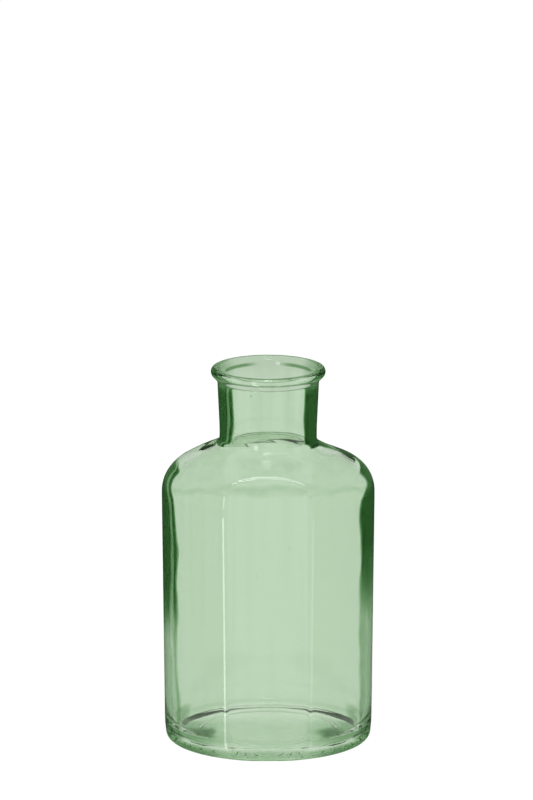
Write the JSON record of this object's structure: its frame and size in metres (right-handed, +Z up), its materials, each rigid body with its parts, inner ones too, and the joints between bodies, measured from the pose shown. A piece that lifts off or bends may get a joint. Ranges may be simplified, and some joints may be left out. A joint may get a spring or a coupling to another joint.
{
  "type": "apothecary bottle",
  "caption": "One-piece green glass apothecary bottle: open flanged mouth, short neck, round shoulder and body with a flat label panel, thick base.",
  "frame": {"origin": "middle of the bounding box at the plane the bottle stands on; the turning axis is parallel to Z at x = 0, y = -0.002275", "axes": "+Z up through the mouth, -Y out of the label panel, +X to the right of somebody facing the panel"},
  "size_m": [0.1, 0.0954, 0.179],
  "materials": {
    "glass": "clear, fire-polished green glass"
  },
  "bodies": {
    "root": {"bottle": "glass"}
  },
  "joints": []
}
